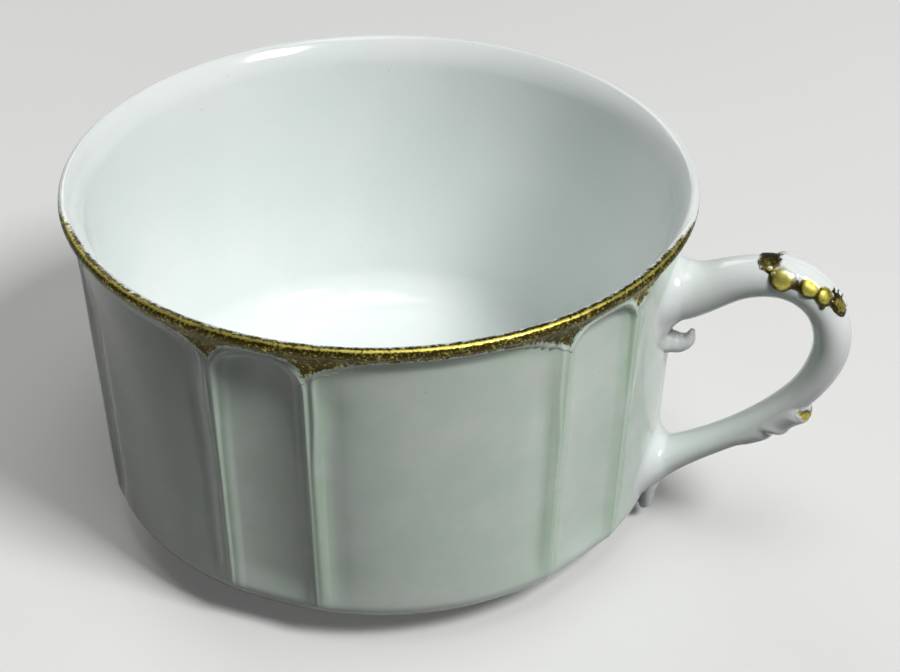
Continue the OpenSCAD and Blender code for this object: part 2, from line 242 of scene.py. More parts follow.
def make_mesh(name, points, faces, attributes=None):
    """A smooth mesh object from points in millimetres, with named numbers kept on its points."""
    mesh = bpy.data.meshes.new(name)
    mesh.from_pydata((np.asarray(points) * MM).tolist(), [], [list(face) for face in faces])
    mesh.update()
    mesh.shade_smooth()
    for key, values in (attributes or {}).items():
        attribute = mesh.attributes.new(key, "FLOAT", "POINT")
        attribute.data.foreach_set("value", np.asarray(values, np.float32).ravel())
    piece = bpy.data.objects.new(name, mesh)
    bpy.context.scene.collection.objects.link(piece)
    return piece


def grid_faces(rows, columns, ring=True):
    """Quads between rows of points. A ring closes on itself."""
    across = columns if ring else columns - 1
    i, j = np.meshgrid(np.arange(rows - 1), np.arange(across), indexing="ij")
    k = (j + 1) % columns
    quads = np.stack([i * columns + j, i * columns + k, (i + 1) * columns + k, (i + 1) * columns + j], -1)
    return quads.reshape(-1, 4)


def torus_faces(rows, columns):
    """Quads between rings of points, where the last ring joins the first."""
    at = np.arange(rows * columns).reshape(rows, columns)
    above = np.roll(at, -1, 0)
    quads = np.stack([at, np.roll(at, -1, 1), np.roll(above, -1, 1), above], -1)
    return quads.reshape(-1, 4)


def fan_faces(ring, centre, flip):
    """Triangles from a ring of point numbers to one point."""
    following = np.roll(ring, -1)
    order = (following, ring) if flip else (ring, following)
    return [[int(a), int(b), centre] for a, b in zip(*order)]


def loft(name, rings, attributes=None):
    """A closed piece through rings that run right-handed about its line, with a point at the middle of
    each end."""
    rings = np.asarray(rings)
    rows, columns = rings.shape[:2]
    ends = [rings[0].mean(0), rings[-1].mean(0)]
    points = np.concatenate([rings.reshape(-1, 3), ends])
    first = np.arange(columns)
    last = first + (rows - 1) * columns
    faces = grid_faces(rows, columns).tolist()
    faces += fan_faces(first, rows * columns, True)
    faces += fan_faces(last, rows * columns + 1, False)
    kept = {}
    for key, values in (attributes or {}).items():
        kept[key] = np.concatenate([np.asarray(values).ravel(), [0.0, 0.0]])
    return make_mesh(name, points, faces, kept)


# Shape of the bowl

def straight_r(z):
    return TURN_R + WALL_DRAW * (z - TURN_Z) / (NECK_Z - TURN_Z)


def wall_r(z):
    """Outside radius at a height, on the round between the flutes."""
    z = np.asarray(z, float)
    flare = np.clip((z - NECK_Z) / (FLARE_Z - NECK_Z), 0, 1)
    turn = BASE_R + TURN_W * np.sqrt(np.clip(1 - ((TURN_Z - z) / TURN_H) ** 2, 0, 1))
    lip = (FLARE_R - straight_r(FLARE_Z)) * flare ** 2
    return np.where(z >= TURN_Z, straight_r(z) + lip, turn)


def thickness(z):
    return LIP_T + (WALL_T - LIP_T) * np.clip((LIP_Z - z) / (LIP_Z - INSIDE_TURN_Z), 0, 1)


def flute_turn(i):
    """Angle of a flute round the bowl. Those beside the handle stand nearer to it, the next ones
    farther off."""
    pair = min(i, FLUTES - 1 - i)
    shift = (-FLUTE_SHIFT, FLUTE_SHIFT, 0.0)[min(pair, 2)]
    return math.radians((i + 0.5) * 360 / FLUTES + (shift if i < FLUTES / 2 else -shift))


FLUTE_TURNS = np.array([flute_turn(i) for i in range(FLUTES)])


def flute_offset(theta):
    """Angle from the middle of the nearest flute, and half the angle from there to the next flute on
    that side."""
    off = turn_from(FLUTE_TURNS, theta[..., None])
    nearest = np.argmin(np.abs(off), -1)
    off = np.take_along_axis(off, nearest[..., None], -1)[..., 0]
    following = np.mod(np.where(off > 0, nearest + 1, nearest - 1), FLUTES)
    gap = np.abs(turn_from(FLUTE_TURNS[nearest], FLUTE_TURNS[following]))
    return off, gap / 2


def arch_distance(theta, z):
    """Distance on the wall from a flute's arched line, negative inside it, and from its middle."""
    y = np.abs(wall_r(np.maximum(z, TURN_Z)) * flute_offset(theta)[0])
    across = y / FLUTE_HALF
    up = np.clip((z - SPRING_Z) / ARCH_RISE, 0, None)
    n = ARCH_POWER
    rho = (across ** n + up ** n) ** (1 / n) + 1e-9
    slope = rho ** (1 - n) * np.hypot(across ** (n - 1) / FLUTE_HALF, up ** (n - 1) / ARCH_RISE)
    return np.where(z > SPRING_Z, (rho - 1) / np.maximum(slope, 1e-6), y - FLUTE_HALF), y


def panel_arch_z(theta):
    """Height of a wide panel's flat arch."""
    off, half = flute_offset(theta)
    share = (half - np.abs(off)) / (half - PANEL_CORNER_ANGLE)
    return CUP_H - PANEL_DROP - PANEL_FALL * share ** PANEL_POWER


def panel_distance(theta, z, y):
    """Distance inside a wide panel's line, negative outside it."""
    side = mix(PANEL_SIDE_LOW, PANEL_SIDE_TOP, smoothstep(*SIDE_GROWTH, z))
    return soft_min(y - side, panel_arch_z(theta) - z, CORNER_SOFT)


def pooled(distance, deep, at, half):
    """Depth of the glaze that gathers along a line, at a distance from it."""
    return deep * bell(distance - at, half)


def relief(theta, z):
    """How far the outside stands off the plain round wall, and how deep the glaze has pooled there."""
    arch, y = arch_distance(theta, z)
    inside = panel_distance(theta, z, y)
    foot = smoothstep(*FOOT_FADE, z)
    lip = 1 - smoothstep(*LIP_FADE, z)
    ridge = mix(RIDGE_LOW_H, RIDGE_H, smoothstep(*RIDGE_GROWTH, z)) * foot
    end = FLUTE_END_IN * smoothstep(*ARCH_END, z)
    trough = np.clip(1 - (y / FLUTE_HALF) ** 2, 0, 1) * smoothstep(end, end + FLUTE_END_W, -arch)
    step = mix(FLUTE_STEP_LOW, FLUTE_STEP, smoothstep(*STEP_GROWTH, z))
    hollow = smoothstep(HOLLOW_FROM, HOLLOW_AT, inside)
    hollow = hollow * np.exp(-np.maximum(inside - HOLLOW_AT, 0) / HOLLOW_RUN)
    hollow_depth = mix(PANEL_HOLLOW, PANEL_HOLLOW_TOP, smoothstep(*HOLLOW_FADE, z))
    height = (
        ridge * lip * np.maximum(bell(arch, RIDGE_HALF), bell(inside, RIDGE_HALF))
        - smoothstep(*FLUTE_FADE, z)
        * (step * smoothstep(end, end + FLUTE_EDGE_W, -arch) + FLUTE_DEPTH * trough)
        - foot * hollow_depth * hollow
    )
    pool = foot * (
        pooled(-arch - end, *POOL_IN_FLUTE)
        + pooled(arch, *POOL_BY_FLUTE) * (y < FLUTE_NEAR)
        + pooled(inside, *POOL_IN_PANEL)
    )
    return height, np.clip(GLAZE_THICK + pool, 0, 1)


def unevenness(theta, z):
    return sum(height * np.sin(turns * theta + rise * z + start) for height, turns, rise, start in WAVES)


def wall_skin(theta, z):
    """Outside radius with its relief, and how deep the glaze has pooled."""
    height, pool = relief(theta, z)
    wavy = smoothstep(TURN_Z, TURN_Z + WAVES_FADE, z) * (1 - smoothstep(NECK_Z - WAVES_FADE, NECK_Z, z))
    return wall_r(z) + height + unevenness(theta, z) * wavy, pool


def polar(theta, r, z):
    return np.stack([r * np.cos(theta), r * np.sin(theta), z + 0 * theta], -1)


def wall_points(theta, z, lift=0.0):
    r, pool = wall_skin(theta, z)
    return polar(theta, r + lift, z), pool


def turned(theta, r, z):
    """Rings of a turned shape, one for each radius and height."""
    return polar(theta, np.asarray(r)[:, None], np.asarray(z)[:, None])


def wall_angles():
    """Angles round the cup, close together over the flutes and their lines."""
    turns = np.concatenate([[FLUTE_TURNS[-1] - 2 * math.pi], FLUTE_TURNS, [FLUTE_TURNS[0] + 2 * math.pi]])
    counts = (PANEL_COLUMNS, FLUTE_COLUMNS, FLUTE_COLUMNS, FLUTE_COLUMNS, PANEL_COLUMNS)
    parts = []
    for before, at, after in zip(turns, turns[1:], turns[2:]):
        stops = (
            (before + at) / 2,
            at - FLUTE_EDGE_ANGLE,
            at - FLUTE_CORE_ANGLE,
            at + FLUTE_CORE_ANGLE,
            at + FLUTE_EDGE_ANGLE,
            (at + after) / 2,
        )
        parts += [steps(start, end, count, False) for start, end, count in zip(stops, stops[1:], counts)]
    return np.concatenate(parts)


THETA = wall_angles()
WALL_Z = np.concatenate([
    steps(TURN_Z, ARCH_ROWS_Z, LOW_ROWS, False),
    steps(ARCH_ROWS_Z, LIP_ROWS_Z, ARCH_ROWS, False),
    steps(LIP_ROWS_Z, FLARE_Z, UNDER_LIP_ROWS),
])


def inside_wall(z):
    """The inside of the wall, square to its outside at heights z."""
    lean = np.arctan(np.gradient(wall_r(z), z))
    return wall_r(z) - thickness(z) * np.cos(lean), z + thickness(z) * np.sin(lean)


def build_bowl():
    quarter = np.radians(steps(0, 90, TURN_ROWS))
    base_r = steps(CENTRE_R, BASE_R, BASE_ROWS)
    outside_z = np.concatenate([TURN_Z - TURN_H * np.cos(quarter[1:-1]), WALL_Z])
    outside, pool = wall_points(THETA[None, :], outside_z[:, None])
    lip = steps(-LIP_TURN, math.pi - LIP_TURN, LIP_ROWS)[1:]
    inside_z = np.concatenate([
        steps(FLARE_Z, NECK_Z, FLARE_ROWS, False)[1:],
        steps(NECK_Z, INSIDE_TURN_Z, INSIDE_ROWS),
    ])
    inside_r = wall_r(INSIDE_TURN_Z) - WALL_T
    turn_r = inside_r - INSIDE_TURN_W * (1 - np.cos(quarter[1:]))
    turn_z = INSIDE_TURN_Z - INSIDE_TURN_H * np.sin(quarter[1:])
    floor_r = steps(inside_r - INSIDE_TURN_W, CENTRE_R, FLOOR_ROWS)[1:]
    rings = [
        turned(THETA, base_r, np.full_like(base_r, FOOT_H)),
        outside,
        turned(THETA, LIP_MIDDLE + LIP_T / 2 * np.cos(lip), LIP_Z + LIP_T / 2 * np.sin(lip)),
        turned(THETA, *inside_wall(inside_z)),
        turned(THETA, turn_r, turn_z),
        turned(THETA, floor_r, np.full_like(floor_r, FLOOR_Z)),
    ]
    pools = [np.zeros(part.shape[:2]) for part in rings]
    pools[1] = pool
    return loft("bowl", np.concatenate(rings), {"pool": np.concatenate(pools)})


def build_foot():
    outer = foot_high.y / MM - FOOT_SPREAD
    inner = outer - FOOT_W
    top = FOOT_H + FOOT_OVERLAP
    quarter = np.radians(steps(0, 90, FOOT_ROWS))
    inset = FOOT_ROUND * (1 - np.sin(quarter))
    rise = FOOT_ROUND * (1 - np.cos(quarter))
    r = np.concatenate([[inner - FOOT_SPREAD], inner + inset[::-1], outer - inset, [outer + FOOT_SPREAD]])
    z = np.concatenate([[top], rise[::-1], rise, [top]])
    rings = turned(steps(0, 2 * math.pi, FOOT_COLUMNS, False), r, z)
    return make_mesh("foot", rings.reshape(-1, 3), torus_faces(*rings.shape[:2]))


# Shape of the handle

def spline(line, u):
    """Smooth line through points, with u counting from 0 at the first."""
    u = np.asarray(u, float)
    last = len(line) - 1
    i = np.clip(np.floor(u).astype(int), 0, last - 1)
    t = (u - i)[..., None]
    a, b = line[np.maximum(i - 1, 0)], line[i]
    c, d = line[i + 1], line[np.minimum(i + 2, last)]
    square = 2 * a - 5 * b + 4 * c - d
    cube = 3 * b - a - 3 * c + d
    return 0.5 * (2 * b + (c - a) * t + square * t ** 2 + cube * t ** 3)


HANDLE_STEP = 24
HANDLE_SOFT = 9


def handle_table():
    """The handle's line, half sizes and outward directions at close steps, with the spline's joints
    smoothed out."""
    u = steps(0, HANDLE_POINTS, HANDLE_POINTS * HANDLE_STEP + 1)
    p = spline(HANDLE_LINE, u)
    z = UPPER_ROOT_Z - HANDLE_SPAN * p[:, 1]
    x = wall_r(z) + SLIP_T + HANDLE_REACH * p[:, 0]
    table = np.stack([x, z, p[:, 2] * HANDLE_T / 2, p[:, 3] * HANDLE_B / 2], -1)
    reach = 3 * HANDLE_SOFT
    weights = bell(np.arange(-reach, reach + 1), HANDLE_SOFT * math.sqrt(2))
    weights /= weights.sum()
    before = 2 * table[0] - table[reach:0:-1]
    after = 2 * table[-1] - table[-2:-reach - 2:-1]
    long = np.concatenate([before, table, after])
    soft = np.stack([np.convolve(column, weights, "valid") for column in long.T], -1)
    run = np.gradient(soft[:, :2], axis=0)
    run /= np.linalg.norm(run, axis=1)[:, None]
    side = np.stack([-run[:, 1], run[:, 0]], -1)
    upper = smoothstep(0, ROOT_BLEND, u)[:, None]
    lower = smoothstep(0, ROOT_BLEND, HANDLE_POINTS - u)[:, None]
    out = side * upper * lower + np.array([0, 1]) * (1 - upper) + np.array([0, -1]) * (1 - lower)
    out /= np.linalg.norm(out, axis=1)[:, None]
    return np.concatenate([soft, out], 1)


HANDLE = handle_table()


def handle_at(u):
    """Row of the handle's table at u."""
    x = np.clip(np.asarray(u, float), 0, HANDLE_POINTS) * HANDLE_STEP
    i = np.minimum(x.astype(int), len(HANDLE) - 2)
    return mix(HANDLE[i], HANDLE[i + 1], (x - i)[..., None])


def handle_point(u, angle, lift=0.0):
    """Point on the handle, with 90 degrees outwards in the plane of the loop, lifted off its surface."""
    row = handle_at(u)
    up = (row[..., 2] + lift) * np.sin(angle)
    y = (row[..., 3] + lift) * np.cos(angle)
    return np.stack([row[..., 0] + row[..., 4] * up, y + 0 * up, row[..., 1] + row[..., 5] * up], -1)


NEAR_AXIS = 1.0


def on_wall(points, off):
    """Points moved along X on to the wall, or on to a layer over it."""
    y, z = points[..., 1], points[..., 2]
    r = wall_skin(np.arcsin(np.clip(y / wall_r(z), -1, 1)), z)[0] + off
    return np.stack([np.sqrt(np.maximum(r * r - y * y, NEAR_AXIS)), y, z], -1)


RING = steps(0, 2 * math.pi, HANDLE_COLUMNS, False)
ROOT_SINK = 0.5
ROOT_TUCK = 0.5
ROOT_TUCK_RUN = (0.3, 1.3)
SHOULDER_LOW = 1.1
SHOULDER_LOW_RUN = (0.0, 1.6)
SHOULDER_HIGH = 0.25
SHOULDER_RISE = (0.8, 2.2)
SHOULDER_FALL = (2.6, 4.6)


def shoulder(u):
    """How much the arm's top stands above the plain line near the upper root. It meets the wall lower,
    with a straight top."""
    high = SHOULDER_HIGH * smoothstep(*SHOULDER_RISE, u) * (1 - smoothstep(*SHOULDER_FALL, u))
    low = SHOULDER_LOW * (1 - smoothstep(*SHOULDER_LOW_RUN, u))
    return (high - low) * np.clip(np.sin(RING), 0, 1)


def build_handle():
    """The loop. Its ends are tucked in under the slip round its roots."""
    u = steps(0, HANDLE_POINTS, HANDLE_POINTS * HANDLE_ROWS + 1)
    tuck = ROOT_TUCK * (1 - smoothstep(*ROOT_TUCK_RUN, np.minimum(u, HANDLE_POINTS - u)))
    rings = handle_point(u[:, None], RING[None, :], shoulder(u[:, None]) - tuck[:, None])
    rings[0] = on_wall(rings[0], -ROOT_SINK)
    rings[-1] = on_wall(rings[-1], -ROOT_SINK)
    return loft("handle_loop", rings)


# Slip round the roots: how far its fillet runs along the loop and over the wall, and how its edges sink in
FILLET_U = 1.6
FILLET_PULL = 0.6
FILLET_LIFT = 0.01
FILLET_SPREAD = 2.2
FILLET_NARROW = 0.8
FILLET_NARROWS = (0.0, 0.9)
FILLET_HOLLOW = 0.3
FILLET_SINK = 0.25
FILLET_RUN = ((0.1, -0.002), (0.25, -0.012), (0.5, -0.05), (1.0, -FILLET_SINK))
FILLET_WALL_RUN = 1.2
FILLET_DEEP = -3 * FILLET_SINK
FILLET_UNDER = -1.0
FILLET_BACK = (0.3, 0.7, 1.1, 1.5, 1.9, 2.3)


def build_slip(name, root, inward):
    """The slip round a root: a hollow fillet that leaves the handle and the wall without an edge. It is
    narrower towards the outside of the loop."""
    spread = FILLET_SPREAD * (1 - FILLET_NARROW * smoothstep(*FILLET_NARROWS, np.sin(RING)))

    def ring(run, lift):
        u = np.array(float(root + inward * run))
        return handle_point(u, RING, shoulder(u) + lift)

    on_handle = ring(FILLET_U, FILLET_LIFT)
    down_handle = ring(FILLET_U - FILLET_PULL, FILLET_LIFT)
    on_foot = on_wall(ring(0, spread), FILLET_LIFT)
    up_foot = on_wall(ring(0, FILLET_HOLLOW * spread), FILLET_LIFT)
    rows = [ring(FILLET_U + run, FILLET_LIFT + drop) for run, drop in FILLET_RUN[::-1]]
    for t in steps(0, 1, FILLET_ROWS):
        near = (1 - t) ** 3 * on_handle + 3 * t * (1 - t) ** 2 * down_handle
        rows.append(near + 3 * t * t * (1 - t) * up_foot + t ** 3 * on_foot)
    for run, drop in FILLET_RUN:
        rows.append(on_wall(ring(0, spread + FILLET_WALL_RUN * run), FILLET_LIFT + drop))
    rows.append(on_wall(ring(0, FILLET_UNDER), FILLET_DEEP))
    rows += [ring(run, FILLET_DEEP) for run in FILLET_BACK]
    loop = np.asarray(rows)
    if inward < 0:
        loop = loop[:, ::-1]
    outwards = torus_faces(*loop.shape[:2])[:, [0, 3, 2, 1]]
    return make_mesh(name, loop.reshape(-1, 3), outwards)


# Relief on the handle: patches over its outside, by place along the loop and angle off the crown

RELIEF_SINK = 0.25
RELIEF_UNDER = -0.5
RELIEF_SOFT = 0.05


def over(share, height, soft):
    """A form that stands at a height where its share is above 0 and sinks into the handle where it is
    below."""
    return -RELIEF_SINK + (height + RELIEF_SINK) * smoothstep(-soft, soft, share)


def patch_grid(start, end, reach, rows, columns):
    """Places along the loop and angles off the crown, as a grid."""
    return np.meshgrid(steps(start, end, rows), steps(-reach, reach, columns), indexing="ij")


def patch(name, u, off, height):
    """A closed piece over the handle's outside, from its height at each place. Where it is below 0 it is
    hidden."""
    angle = np.radians(90.0 + off)
    top = handle_point(u, angle, height)
    bottom = handle_point(u, angle[:, ::-1], RELIEF_UNDER)
    return loft(name, np.concatenate([top, bottom], 1))


# Thumb leaf: rounded lobes along both edges of a blade. Each has its place along the loop, its angle off
# the crown, its half length along the loop, its half width in degrees, its height, where its gold fades
# out and how dark it is

Lobe = namedtuple("Lobe", "at off half_length half_width height fade dark")

LEAF_FROM = 4.45
LEAF_TO = 7.5
LEAF_REACH = 104.0
LEAF_T = 0.36
LEAF_LOBES = (
    Lobe(5.36, 57.0, 0.38, 37.0, 0.86, -1.05, 0.05),
    Lobe(6.12, 56.0, 0.30, 25.0, 0.60, -1.60, 0.20),
    Lobe(6.56, 47.0, 0.27, 23.0, 0.54, -1.90, 0.30),
    Lobe(7.02, 24.0, 0.30, 25.0, 0.48, -2.20, 0.45),
)
# The second and third beads sit on the collar where glints stand, and their gold is kept light: painted
# glints
LEAF_BEADS = (
    Lobe(6.72, 66.0, 0.10, 9.0, 0.30, -3.0, 0.8),
    Lobe(4.97, 38.0, 0.10, 9.0, 0.24, -0.8, 0.1),
    Lobe(5.09, 51.0, 0.10, 9.0, 0.24, -0.8, 0.1),
)
LOBE_UNEVEN_2 = 0.05
LOBE_UNEVEN_3 = 0.035
LOBE_POWER = 2.5
LOBE_ROUND = 0.6
LOBE_EDGE = 0.12

# Blade between the lobes, with a vein along its middle
BLADE_STEM = 10.0
BLADE_SWELL = 50.0
BLADE_OPENS = (4.95, 5.55)
BLADE_CLOSES = (6.1, 7.15)
BLADE_CLOSED = 0.72
BLADE_EDGE = 30.0
BLADE_FROM = 5.10
BLADE_TO = 7.2
BLADE_SLANT = 0.0025
BLADE_STEEP = 2.5
BLADE_SOFT = 0.10
VEIN_T = 0.10
VEIN_HALF = 4.0
VEIN_FROM = (5.2, 5.5)
CHEEK_T = 0.10
CHEEK_AT = 0.55
CHEEK_HALF = 0.3

# Gold strip that ties the lobes together, as the angle of its middle at places along the loop
STRIP_U = (4.80, 5.05, 5.37, 5.75, 6.13, 6.55, 6.80, 7.05, 7.30)
STRIP_OFF = (28.0, 44.0, 68.0, 62.0, 61.0, 53.0, 42.0, 28.0, 12.0)
STRIP_HALF = 14.0
STRIP_T = 0.16
STRIP_FAR = 62.0
STRIP_SOFT = 0.3
STRIP_GOLD = 1.5
STRIP_DARK = 0.85

# Gilt collar at the leaf's foot
COLLAR_MIDDLE = 4.905
COLLAR_HALF = 0.25
COLLAR_ANGLE = 43.0
COLLAR_T = 0.20
COLLAR_SOFT = 0.03
COLLAR_POWER = 4
COLLAR_SCALLOP = 0.035
COLLAR_SCALLOPS = 6.0
COLLAR_BACK = 0.02
COLLAR_SLANT = 0.003
COLLAR_GOLD = 5.0
COLLAR_DARK = (0.95, 0.55)
COLLAR_DARK_OFF = (8, 40)

# Pointed strokes of dark gold on the leaf's tip, each as its place along the loop and the angle of its point
STROKES = ((6.68, -4.0), (6.82, -14.0), (6.97, -18.0))
STROKE_BASE = 22.0
STROKE_HALF = 0.07
STROKE_SLANT = 0.05
STROKE_GOLD = 40.0

# Gold on the lobes: a dark outline past their lower edges and darkening towards those edges, both painted
# shade, and where the gold thins out towards the crown, partly a painted highlight
LOBE_GOLD = 4.0
OUTLINE_W = 0.14
OUTLINE_IN = 0.06
OUTLINE_FADE = (0.7, 1.2)
FAR_LOBE_GOLD = 2.0
FAR_LOBE_IN = 0.7
LOBE_RULES_TO = 1.08
LOBE_RULES_T = 0.03
LOBE_PAINTED_SHADE = 0.95
EDGE_REACH = (0.45, 0.95)
EDGE_SIDE = (-1.1, 0.1)
THIN_RUN = 1.2
THIN_SLANT = 0.35


def lobe_place(u, side, lobe):
    """Share of the way from a lobe's middle to its uneven edge, along the loop, across it and straight."""
    along = (u - lobe.at) / lobe.half_length
    across = (side - lobe.off) / lobe.half_width
    turn = np.arctan2(across, along)
    uneven = 1 + LOBE_UNEVEN_2 * np.sin(2 * turn + 7 * lobe.at) + LOBE_UNEVEN_3 * np.sin(3 * turn + lobe.off)
    return along, across, np.hypot(along, across) * uneven


def lobe_height(reach, height):
    """A rounded lobe over the share of the way from its middle to its edge, with a steep edge."""
    dome = height * np.clip(1 - reach ** LOBE_POWER, 0, 1) ** LOBE_ROUND
    return np.where(reach < 1, dome, -RELIEF_SINK * np.clip((reach - 1) / LOBE_EDGE, 0, 1))


def leaf_blade(u, side):
    """Height of the leaf's blade, which swells from the collar and closes at its tip."""
    half = BLADE_STEM + BLADE_SWELL * smoothstep(*BLADE_OPENS, u) * (
        1 - BLADE_CLOSED * smoothstep(*BLADE_CLOSES, u)
    )
    share = np.minimum((half - side) / BLADE_EDGE, (u - BLADE_SLANT * side - BLADE_FROM) * BLADE_STEEP)
    share = np.minimum(share, (BLADE_TO - u) * BLADE_STEEP)
    vein = VEIN_T * bell(side, VEIN_HALF) * smoothstep(*VEIN_FROM, u)
    cheek = CHEEK_T * bell(side / half - CHEEK_AT, CHEEK_HALF)
    return over(share, LEAF_T - vein + cheek, BLADE_SOFT)


def collar_share(u, side):
    """How far inside the gilt collar a place is. Its edge towards the cup is scalloped."""
    along = u - COLLAR_MIDDLE
    scallop = COLLAR_SCALLOP * np.abs(np.sin(np.radians(side) * COLLAR_SCALLOPS))
    along = np.where(along < 0, along + scallop - COLLAR_BACK, along - COLLAR_SLANT * side)
    square = (along / COLLAR_HALF) ** COLLAR_POWER + (side / COLLAR_ANGLE) ** COLLAR_POWER
    return COLLAR_HALF * (1 - square ** (1 / COLLAR_POWER))


def stroke_share(u, off):
    """How far inside one of the pointed strokes a place is."""
    gaps = []
    for at, point in STROKES:
        along = (STROKE_BASE - off) / (STROKE_BASE - point)
        inside = STROKE_HALF * (1 - along) - np.abs(u - at + STROKE_SLANT * along)
        gaps.append(np.where((along > 0) & (along < 1), inside, -1.0))
    return np.max(gaps, 0)


def strip_share(u, side, far):
    """How far inside the gold strip a place is. On the far side it keeps to the outer edge."""
    strip = STRIP_HALF - np.abs(side - np.interp(u, STRIP_U, STRIP_OFF))
    strip = np.where((u > STRIP_U[0]) & (u < STRIP_U[-1]), strip, -STRIP_HALF) / STRIP_HALF
    return np.where(far, np.minimum(strip, (side - STRIP_FAR) / STRIP_HALF), strip)


def leaf_relief(u, off):
    """Height of the thumb leaf with its collar and lobes. Then how deep in the gold, how dark and how thick
    with it each place is. The darkness holds painted shade at the lobes' lower edges, and the gold thins on
    their upper sides partly as a painted highlight."""
    side = np.abs(off)
    far = off < 0
    collar = collar_share(u, side)
    strip = strip_share(u, side, far)
    height = np.maximum(leaf_blade(u, side), over(collar, COLLAR_T, COLLAR_SOFT))
    height = soft_max(height, over(strip, STRIP_T, STRIP_SOFT), RELIEF_SOFT)
    gold = np.maximum(collar * COLLAR_GOLD, strip * STRIP_GOLD)
    gold = np.maximum(gold, stroke_share(u, off) * STROKE_GOLD)
    dark = np.where(collar > 0, mix(*COLLAR_DARK, smoothstep(*COLLAR_DARK_OFF, side)), STRIP_DARK)
    thick = np.ones_like(height)
    for lobe in LEAF_LOBES + LEAF_BEADS:
        along, across, reach = lobe_place(u, side, lobe)
        rise = lobe_height(reach, lobe.height)
        # Painted shade: on each lobe's lower side the gold runs a little past its edge, as a dark outline
        outline = OUTLINE_W * smoothstep(*OUTLINE_FADE, across - lobe.fade) - OUTLINE_IN
        painted = (1.0 + outline - reach) * LOBE_GOLD
        painted = np.where(far, np.minimum(painted, across * FAR_LOBE_GOLD - FAR_LOBE_IN), painted)
        on_top = (painted >= gold) | ((reach < LOBE_RULES_TO) & (rise >= height - LOBE_RULES_T))
        # Painted shade: the gold darkens towards each lobe's lower edge
        edge = LOBE_PAINTED_SHADE * smoothstep(*EDGE_REACH, reach) * smoothstep(*EDGE_SIDE, across)
        dark = np.where(on_top, np.minimum(edge + lobe.dark, 1.0), dark)
        # Partly painted highlight: the gold thins out to the glaze towards each lobe's upper side, where a
        # highlight would stand
        full = smoothstep(lobe.fade, lobe.fade + THIN_RUN, across - THIN_SLANT * along)
        thick = np.where(on_top, full, thick)
        gold = np.maximum(gold, painted)
        height = soft_max(height, rise, RELIEF_SOFT)
    return height, gold, dark, thick


# Lower leaf: two swellings along the outside of the lower arm, as places along the loop with heights

KNOBS_FROM = 10.05
KNOBS_TO = 12.45
KNOBS_HALF = 100.0
KNOBS_REACH = 112.0
KNOBS_FLUSH = 0.008
KNOBS_HIDDEN = (0.92, 1.05)
TONGUE = np.array([
    [10.05, 0.00], [10.22, 0.05], [10.31, 0.75], [10.40, 1.55], [10.53, 1.95], [10.65, 1.75],
    [10.80, 1.55], [10.92, 1.50], [11.00, 1.65], [11.08, 1.85], [11.15, 1.70], [11.22, 1.20],
    [11.30, 0.95], [11.38, 1.10], [11.48, 1.25], [11.60, 1.15], [11.75, 0.90], [11.88, 0.70],
    [11.98, 0.40], [12.10, 0.12], [12.30, 0.00], [12.45, 0.00],
])
TONGUE_CURVE = 0.22
TONGUE_STEPS = 480
TONGUE_REACH = 12
TONGUE_SOFT = 5.0
CREASE_T = 0.10
CREASE_HALF = 5.0
CREASE_FROM = (0.3, 0.8)
KNOB_GOLD_FROM = 10.30
KNOB_GOLD_TO = 10.52
KNOB_GOLD_CURVE = 0.12
KNOB_GOLD_SIDE = 62.0
KNOB_GOLD_STEEP = 9.0
KNOB_GOLD_SOFT = 9.0
KNOB_DARK = 0.35
# Painted shade on the gold at the lower leaf's upper tip
KNOB_PAINTED_SHADE = 0.5
KNOB_PAINTED_SHADE_FROM = (10.38, 10.28)


def tongue_line():
    """The heights along the loop, smoothed."""
    fine = steps(KNOBS_FROM, KNOBS_TO, TONGUE_STEPS)
    weights = bell(np.arange(-TONGUE_REACH, TONGUE_REACH + 1), TONGUE_SOFT)
    heights = np.pad(np.interp(fine, *TONGUE.T), TONGUE_REACH, "edge")
    return fine, np.convolve(heights, weights / weights.sum(), "valid")


def knobs_relief(u, off):
    """Height of the lower leaf. Then how deep in the gold, how dark and how thick with it each place is."""
    across = off / KNOBS_HALF
    height = np.interp(u - TONGUE_CURVE * across ** 2, *tongue_line())
    side = np.clip(1 - across ** 2, 0, 1) ** 2
    crease = CREASE_T * bell(off, CREASE_HALF) * smoothstep(*CREASE_FROM, height)
    hidden = RELIEF_SINK * smoothstep(*KNOBS_HIDDEN, np.abs(across))
    gold = (KNOB_GOLD_TO - KNOB_GOLD_CURVE * (off / KNOB_GOLD_SIDE) ** 2 - u) * KNOB_GOLD_STEEP
    gold = np.minimum(gold, (u - KNOB_GOLD_FROM) * KNOB_GOLD_STEEP)
    gold = np.minimum(gold, (KNOB_GOLD_SIDE - np.abs(off)) / KNOB_GOLD_SOFT)
    # Painted shade: the gold darkens towards the upper tip of the lower leaf
    dark = KNOB_DARK + KNOB_PAINTED_SHADE * smoothstep(*KNOB_PAINTED_SHADE_FROM, u)
    height = height * side - crease - KNOBS_FLUSH - hidden
    return height, gold, dark, np.ones_like(height)


LEAF_GRID = patch_grid(LEAF_FROM, LEAF_TO, LEAF_REACH, *LEAF_MESH)
KNOBS_GRID = patch_grid(KNOBS_FROM, KNOBS_TO, KNOBS_REACH, *KNOBS_MESH)
LEAF = leaf_relief(*LEAF_GRID)
KNOBS = knobs_relief(*KNOBS_GRID)


# Curl and tail: small branches with a round end

BRANCH_CAP = np.radians([25, 50, 70, 84])


